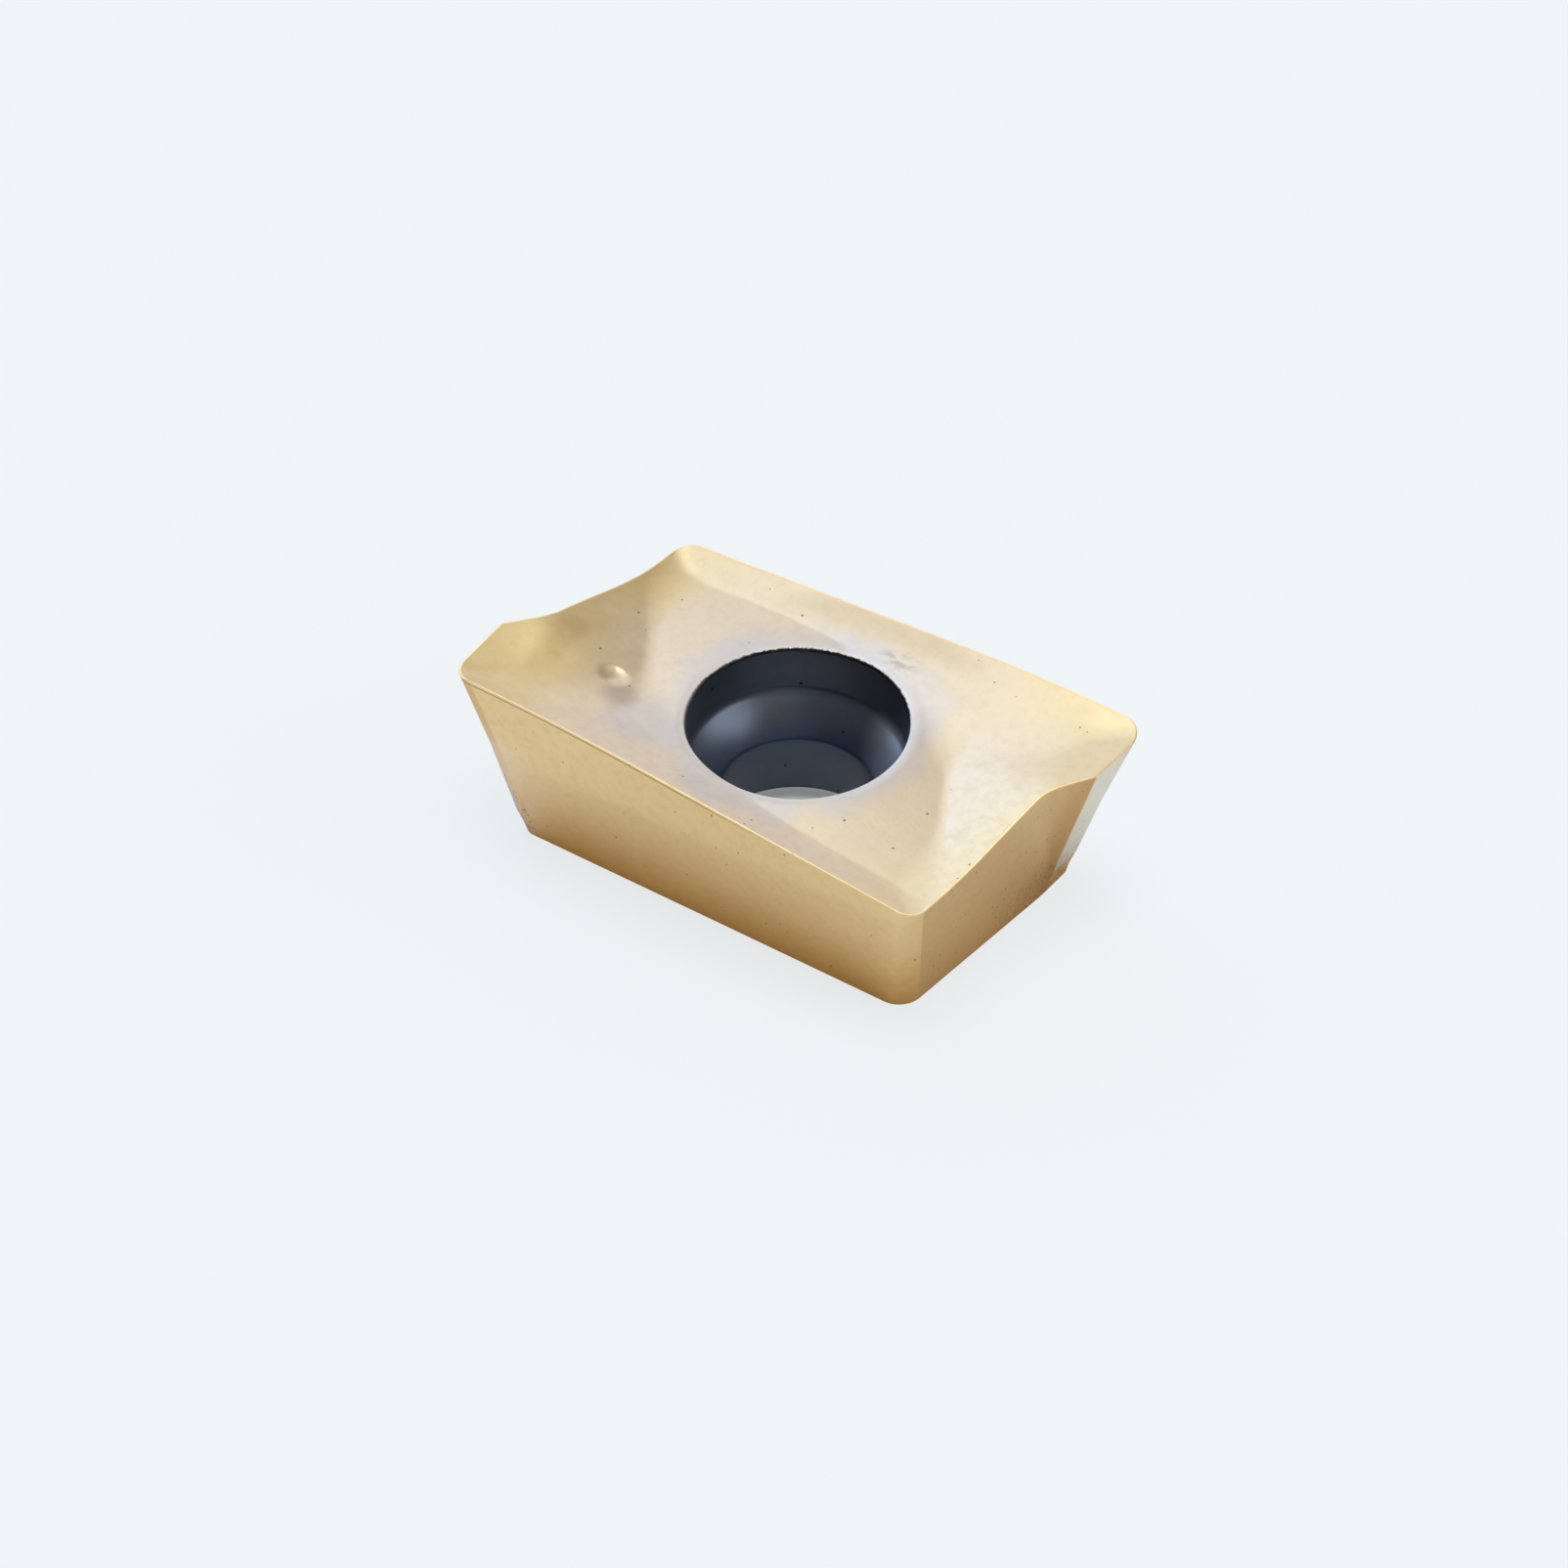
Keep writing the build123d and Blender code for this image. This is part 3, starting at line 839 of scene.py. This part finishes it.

# %% [markdown]
# At the rim of the hole two coatings meet. A whitish ring goes round it, smooth towards the front,
# ragged towards the back. The ring is partly a painted highlight, and the pale rounding of the rim
# inside it is a painted highlight. At the back a dark band of painted shade lies on the rounding,
# and at the back left bright spots follow the rim.

# %% Rim of the hole
RIM_NOISE_WIDTH, RAGGED_BY = 0.07, 0.16
rim_noise = add_node(tree, "ShaderNodeTexNoise", {
    "Vector": mm, "Scale": 1 / RIM_NOISE_WIDTH, "Detail": 3.0, "Roughness": 0.7})
toward_back = add_node(tree, "ShaderNodeVectorMath", {
    0: mm, 1: (-0.35, 0.94, 0)}, output=1, operation="DOT_PRODUCT")
at_back = (toward_back, -0.6, 1.4)
backward = add_node(tree, "ShaderNodeMapRange", {
    "Value": toward_back, "From Min": at_back[1], "From Max": at_back[2]},
    interpolation_type="SMOOTHSTEP")
unevenness = add_node(tree, "ShaderNodeMath", {0: rim_noise, 1: 0.5}, operation="SUBTRACT")
raggedness = add_node(tree, "ShaderNodeMath", {0: backward, 1: RAGGED_BY}, operation="MULTIPLY")
ragged_radius = add_node(tree, "ShaderNodeMath", {
    0: unevenness, 1: raggedness, 2: radius}, operation="MULTIPLY_ADD")
rim_marks = [
    # Painted highlight: the whitish ring in part, and the pale rounding of the rim wholly.
    ("whitish ring", "#DDD9D5", 0.20, [(ragged_radius, 3.36, 3.24)]),
    ("pale rounding of the rim", "#C9CCD2", 0.9, [(radius, 3.22, 3.19)]),
    # Painted shade: a dark band on the rounding at the back of the rim.
    ("painted shade at the rim", "#25272D", 1.0, [(ragged_radius, 3.225, 3.185), at_back]),
    ("bright spots on the rim", "#DADFE6", 1.0,
     [(rim_noise, 0.44, 0.56), (level, 4.62, 4.65), (level, 4.71, 4.68), (x_place, 0.2, -1.0),
      at_back, (radius, 3.3, 3.25)]),
]
tone = lay_colours(tree, tone, rim_marks)
print("painted shade at the rim out to 3.2 mm at the back")

# %% [markdown]
# Then come small marks of use and making: grey smudges behind the hole, fine mottling of the
# layer, and a brown haze low on the end flanks. Beside the pressed mark lies a painted shade, a
# soft greyish patch where the facet falls into shade.

# %% Smudges and mottling
MOTTLE_WIDTH, DUST_WIDTH = 0.3, 0.10
SMUDGE_STRETCH, STREAKS_PER_UNIT = (1.1, 2.6, 0), 1.6
PAINTED_SHADE_PLACE = (-4.72, -1.95, 0)
smudge_place = add_node(tree, "ShaderNodeMapping", {"Vector": mm, "Location": (-1.0, -3.62, 0)})
smudge_reach = add_node(tree, "ShaderNodeVectorMath", {
    0: smudge_place, 1: SMUDGE_STRETCH}, operation="MULTIPLY")
smudge_far = add_node(tree, "ShaderNodeVectorMath", {
    0: smudge_reach}, output=1, operation="LENGTH")
streaks = add_node(tree, "ShaderNodeTexNoise", {
    "Vector": smudge_reach, "Scale": STREAKS_PER_UNIT, "Detail": 3.0})
painted_shade_far = add_node(tree, "ShaderNodeVectorMath", {
    0: plan, 1: PAINTED_SHADE_PLACE}, output=1, operation="DISTANCE")
mottle = add_node(tree, "ShaderNodeTexNoise", {
    "Vector": mm, "Scale": 1 / MOTTLE_WIDTH, "Detail": 3.0, "Roughness": 0.65})
dust = add_node(tree, "ShaderNodeTexNoise", {
    "Vector": mm, "Scale": 1 / DUST_WIDTH, "Detail": 3.0})
smudges = [
    ("grey smudges", "#8A8482", 0.50, [(smudge_far, 1.1, 0.3), (streaks, 0.42, 0.62)]),
    # Painted shade: a soft greyish patch beside the pressed mark.
    ("painted shade beside the mark", "#A89789", 0.65, [(painted_shade_far, 0.85, 0.1)]),
    ("mottling", "#B89C6E", 0.12, [(mottle, 0.42, 0.72)]),
    ("brown haze", "#8A5630", 0.5, [(specks_here, 0.55, 1.0), (dust, 0.42, 0.70)]),
]
tone = lay_colours(tree, tone, smudges)
print("smudges, mottling and haze:", len(smudges))

# %% [markdown]
# Specks are droplets and pits 0.03 to 0.08 mm wide. They come from a pattern of random cells on
# the flat map. A cell holds one speck at most: the red of its random colour decides whether it has
# one, and the green sets the speck's radius, as a share of the cell.

# %% Specks
CELL = 0.28
MOST_CELLS = 0.42
SMALLEST_SPECK, SPECK_SPREAD = 0.06, 0.08
cells = add_node(tree, "ShaderNodeTexVoronoi", {
    "Vector": flat_place, "Scale": 1 / CELL, "Randomness": 1.0}, voronoi_dimensions="2D")
cell_draw = add_node(tree, "ShaderNodeSeparateColor", {0: cells.node.outputs[1]}, output=0)
limit = add_node(tree, "ShaderNodeMath", {0: specks_here, 1: MOST_CELLS}, operation="MULTIPLY")
chosen = add_node(tree, "ShaderNodeMath", {0: cell_draw, 1: limit}, operation="LESS_THAN")
reach = add_node(tree, "ShaderNodeMath", {
    0: cell_draw.node.outputs[1], 1: SPECK_SPREAD, 2: SMALLEST_SPECK}, operation="MULTIPLY_ADD")
inside_speck = add_node(tree, "ShaderNodeMath", {0: cells, 1: reach}, operation="LESS_THAN")
speck = add_node(tree, "ShaderNodeMath", {0: chosen, 1: inside_speck}, operation="MULTIPLY")
tone = lay_colours(tree, tone, [("specks", "#5A4030", 0.75, [(speck, 0, 1)])])
print("one speck at most per", CELL, "mm cell")

# %% [markdown]
# The surface itself is a fine blasted grain, about 0.1 mm wide where the render can show it (the
# real grain is finer), on a pressed face that isn't quite flat. Bump gives both, with heights of a
# few thousandths of a millimetre, and the roughness wanders a little with the mottling.

# %% Gold surface
GRAIN_WIDTH, GRAIN_HEIGHT = 0.11, 0.0022 * MM
SWELL_WIDTH, SWELL_HEIGHT = 0.9, 0.012 * MM
PIT_DEPTH = 0.006 * MM
grain = add_node(tree, "ShaderNodeTexNoise", {
    "Vector": mm, "Scale": 1 / GRAIN_WIDTH, "Detail": 2.0})
swell = add_node(tree, "ShaderNodeTexNoise", {
    "Vector": mm, "Scale": 1 / SWELL_WIDTH, "Detail": 1.0})
wave = add_node(tree, "ShaderNodeBump", {
    "Strength": 1.0, "Distance": SWELL_HEIGHT, "Height": swell})
fine = add_node(tree, "ShaderNodeBump", {
    "Strength": 1.0, "Distance": GRAIN_HEIGHT, "Height": grain, "Normal": wave})
pitted = add_node(tree, "ShaderNodeBump", {
    "Strength": 1.0, "Distance": PIT_DEPTH, "Height": speck, "Normal": fine}, invert=True)
gloss = add_node(tree, "ShaderNodeMapRange", {
    "Value": mottle, "From Min": 0.3, "From Max": 0.7, "To Min": 0.37, "To Max": 0.45})
shader = add_node(tree, "ShaderNodeBsdfPrincipled", {
    "Base Color": tone, "Metallic": 1.0, "Roughness": gloss, "Normal": pitted,
    "Coat Weight": 0.2, "Coat Roughness": 0.30, "Coat IOR": 1.7})
add_node(tree, "ShaderNodeOutputMaterial", {"Surface": shader})
insert_mesh.materials.append(gold)
print("gold coating has", len(tree.nodes), "nodes")

# %% [markdown]
# ## The dark coating in the hole
#
# In the recess and the bore the layer under the gold shows: a blue-black oxide and carbonitride
# film. To the eye it is between a metal and a matt ceramic, so it is only partly metallic. Its
# colour drifts a little from blue to grey, it is bluest on the screw seat, and a few pits show.
# The left and right parts of the screw seat are painted paler, as painted highlights.

# %% Dark coating
DRIFT_WIDTH, PIT_CELL = 1.6, 0.5
FILM_GRAIN_WIDTH, FILM_GRAIN_HEIGHT = 0.12, 0.0015 * MM
dark, tree = new_material("blue_black_oxide")
place = add_node(tree, "ShaderNodeTexCoord", output=3)
mm = add_node(tree, "ShaderNodeVectorMath", {
    0: place, 1: (1000, 1000, 1000)}, operation="MULTIPLY")
x_place = add_node(tree, "ShaderNodeSeparateXYZ", {0: mm}, output=0)
level = x_place.node.outputs[2]
drift = add_node(tree, "ShaderNodeTexNoise", {
    "Vector": mm, "Scale": 1 / DRIFT_WIDTH, "Detail": 2.0})
flat_place = add_node(tree, "ShaderNodeUVMap", uv_map="surface_mm")
cells = add_node(tree, "ShaderNodeTexVoronoi", {
    "Vector": flat_place, "Scale": 1 / PIT_CELL}, voronoi_dimensions="2D")
cell_draw = add_node(tree, "ShaderNodeSeparateColor", {0: cells.node.outputs[1]}, output=0)
dark_layers = [
    ("greyer film", "#5E6776", 1.0, [(drift, 0.2, 0.8)]),
    ("bluer film on the screw seat", "#434F6A", 1.0, [(level, 2.1, 2.3), (level, 3.5, 3.2)]),
    ("painted highlight at the left of the seat", "#636E80", 0.9,
     # Painted highlights: the left and right parts of the screw seat are painted paler.
     [(level, 2.1, 2.4), (level, 3.6, 3.3), (x_place, -1.0, -2.6)]),
    ("painted highlight at the right of the seat", "#A0AAC0", 0.9,
     [(level, 2.1, 2.4), (level, 3.6, 3.3), (x_place, 0.3, 1.9)]),
    ("pits", "#0C0D10", 1.0, [(cell_draw, 0.051, 0.050), (cells, 0.10, 0.08)]),
]
tone = lay_colours(tree, linear("#505A6D"), dark_layers)
film_grain = add_node(tree, "ShaderNodeTexNoise", {
    "Vector": mm, "Scale": 1 / FILM_GRAIN_WIDTH, "Detail": 2.0})
surface = add_node(tree, "ShaderNodeBump", {
    "Strength": 1.0, "Distance": FILM_GRAIN_HEIGHT, "Height": film_grain})
gloss = add_node(tree, "ShaderNodeMapRange", {
    "Value": drift, "From Min": 0.3, "From Max": 0.7, "To Min": 0.33, "To Max": 0.39})
shader = add_node(tree, "ShaderNodeBsdfPrincipled", {
    "Base Color": tone, "Metallic": 0.68, "Roughness": gloss, "Normal": surface})
add_node(tree, "ShaderNodeOutputMaterial", {"Surface": shader})
insert_mesh.materials.append(dark)
print("dark coating has", len(tree.nodes), "nodes")

# %% [markdown]
# ## Camera
#
# The camera stands where the photograph was taken: far away with a long lens, 34.7 degrees round
# to the right and 41.9 degrees up. It stands 451 mm back along its view, and a little to the left
# and above in its own picture, so that the insert sits where it does in the photograph.

# %% Camera
AZIMUTH, ELEVATION, ROLL = (math.radians(a) for a in (34.7035, 41.928, 0.3151))
SHIFT_RIGHT, SHIFT_UP, SHIFT_BACK = -0.3611, 1.8481, 450.96
FOCAL_LENGTH = 366.0
NEAR_CLIP, FAR_CLIP = 0.05, 20
right = np.array([math.cos(AZIMUTH), math.sin(AZIMUTH), 0])
up = np.array([
    -math.sin(AZIMUTH) * math.sin(ELEVATION),
    math.cos(AZIMUTH) * math.sin(ELEVATION),
    math.cos(ELEVATION)])
back = np.cross(right, up)
stand = (SHIFT_RIGHT * right + SHIFT_UP * up + SHIFT_BACK * back) * MM
across = right * math.cos(ROLL) + up * math.sin(ROLL)
upward = up * math.cos(ROLL) - right * math.sin(ROLL)
camera_data = bpy.data.cameras.new("camera")
camera_data.lens = FOCAL_LENGTH
camera_data.clip_start, camera_data.clip_end = NEAR_CLIP, FAR_CLIP
camera = bpy.data.objects.new("camera", camera_data)
bpy.context.scene.collection.objects.link(camera)
placing = [[across[i], upward[i], back[i], stand[i]] for i in range(3)]
camera.matrix_world = Matrix(placing + [[0, 0, 0, 1]])
bpy.context.scene.camera = camera
print("camera stands", round(float(np.linalg.norm(stand)), 3), "m away")

# %% [markdown]
# ## Floor
#
# The floor is a sheet of matt white studio paper. What the camera sees of it is mostly an even
# pale blue-white, with about a fifth of the real, shaded paper kept in it for the object's soft
# shadow. Through the hole it sees mostly the shaded paper. The metal sees nearly all of the shaded
# paper, which turns the foot of the flanks brown, together with the painted shade on the flanks.

# %% Floor
FLOOR_REACH = 3.0
UNDER_HOLE, OPEN_FLOOR = 2.5 * MM, 3.8 * MM
EVEN_UNDER_HOLE, EVEN_IN_THE_OPEN, EVEN_IN_METAL = 0.2, 0.78, 0.06
floor_mesh = bpy.data.meshes.new("floor")
floor_corners = [(-FLOOR_REACH, -FLOOR_REACH, 0), (FLOOR_REACH, -FLOOR_REACH, 0),
                 (FLOOR_REACH, FLOOR_REACH, 0), (-FLOOR_REACH, FLOOR_REACH, 0)]
floor_mesh.from_pydata(floor_corners, [], [(0, 1, 2, 3)])
floor = bpy.data.objects.new("floor", floor_mesh)
bpy.context.scene.collection.objects.link(floor)

paper, tree = new_material("matt_studio_paper")
lit = add_node(tree, "ShaderNodeBsdfDiffuse", {"Color": linear("#F1F1F1"), "Roughness": 1.0})
even = add_node(tree, "ShaderNodeEmission", {"Color": linear("#F5FBFF"), "Strength": 1.0})
path = add_node(tree, "ShaderNodeLightPath").node
seen = add_node(tree, "ShaderNodeMath", {
    0: path.outputs["Is Camera Ray"], 1: path.outputs["Is Transmission Ray"]}, operation="MAXIMUM")
mirrored = add_node(tree, "ShaderNodeMath", {
    0: path.outputs["Is Glossy Ray"], 1: EVEN_IN_METAL}, operation="MULTIPLY")
spot = add_node(tree, "ShaderNodeTexCoord", output=3)
from_axis = add_node(tree, "ShaderNodeVectorMath", {0: spot}, output=1, operation="LENGTH")
open_floor = add_node(tree, "ShaderNodeMapRange", {
    "Value": from_axis, "From Min": UNDER_HOLE, "From Max": OPEN_FLOOR,
    "To Min": EVEN_UNDER_HOLE, "To Max": EVEN_IN_THE_OPEN})
shown = add_node(tree, "ShaderNodeMath", {0: seen, 1: open_floor}, operation="MULTIPLY")
share = add_node(tree, "ShaderNodeMath", {0: shown, 1: mirrored}, operation="MAXIMUM")
surface = add_node(tree, "ShaderNodeMixShader", {0: share, 1: lit, 2: even})
add_node(tree, "ShaderNodeOutputMaterial", {"Surface": surface})
floor_mesh.materials.append(paper)
print("floor reaches", FLOOR_REACH, "m each way")

# %% [markdown]
# ## Light
#
# Plain soft studio light: a large softbox overhead, two on the left for the shading of the facets,
# two weak ones behind that keep the far end light, one at the right that reaches into the screw
# seat, and a faint one in front for the sides that face the camera. Each stands 0.6 m from the
# insert and looks at it. The walls of the room are dim and warm.

# %% Room
BACKDROP_IN_METAL = 0.12
room = bpy.data.worlds.new("studio")
room.use_nodes = True
tree = room.node_tree
tree.nodes.clear()
walls = add_node(tree, "ShaderNodeBackground", {"Color": linear("#8A7647"), "Strength": 1.0})
backdrop = add_node(tree, "ShaderNodeBackground", {"Color": linear("#EFF3F6"), "Strength": 1.0})
path = add_node(tree, "ShaderNodeLightPath").node
seen = add_node(tree, "ShaderNodeMath", {
    0: path.outputs["Is Camera Ray"], 1: path.outputs["Is Transmission Ray"]}, operation="MAXIMUM")
mirrored = add_node(tree, "ShaderNodeMath", {
    0: path.outputs["Is Glossy Ray"], 1: BACKDROP_IN_METAL}, operation="MULTIPLY")
share = add_node(tree, "ShaderNodeMath", {0: seen, 1: mirrored}, operation="MAXIMUM")
both = add_node(tree, "ShaderNodeMixShader", {0: share, 1: walls, 2: backdrop})
add_node(tree, "ShaderNodeOutputWorld", {"Surface": both})
bpy.context.scene.world = room
print("room set")

# %% Softboxes
LAMP_DISTANCE = 0.6
# Name, elevation, azimuth, width and height in metres, colour, brightness of the cloth
SOFTBOXES = [
    ("overhead", 90, 0, 0.30, 0.30, "#EEF8FF", 5.30),
    ("right_top", 38, 28, 0.44, 0.30, "#F7FAFF", 2.00),
    ("left_top", 60, 150, 0.42, 0.28, "#D6ECFF", 1.30),
    ("left", 33, 163, 0.52, 0.30, "#BFD9FF", 2.30),
    ("back", 33, 114, 0.30, 0.30, "#E3EFFF", 0.92),
    ("back_low", 13, 122, 0.48, 0.26, "#C8DCFF", 1.00),
    ("front_fill", 30, 300, 0.40, 0.30, "#FFFFFF", 0.30),
]
for name, height_angle, round_angle, width, height, colour, brightness in SOFTBOXES:
    lamp_data = bpy.data.lights.new(name + "_softbox", "AREA")
    lamp_data.shape = "RECTANGLE"
    lamp_data.size, lamp_data.size_y = width, height
    lamp_data.color = linear(colour)[:3]
    lamp_data.energy = math.pi * width * height * brightness
    lamp = bpy.data.objects.new(name + "_softbox", lamp_data)
    raised, turned = math.radians(height_angle), math.radians(round_angle)
    flat = math.cos(raised)
    direction = Vector((flat * math.cos(turned), flat * math.sin(turned), math.sin(raised)))
    lamp.location = direction * LAMP_DISTANCE
    lamp.rotation_mode = "QUATERNION"
    lamp.rotation_quaternion = direction.to_track_quat("Z", "Y")
    bpy.context.scene.collection.objects.link(lamp)
print("softboxes:", len(SOFTBOXES))

# %% View
bpy.context.scene.view_settings.view_transform = "Standard"
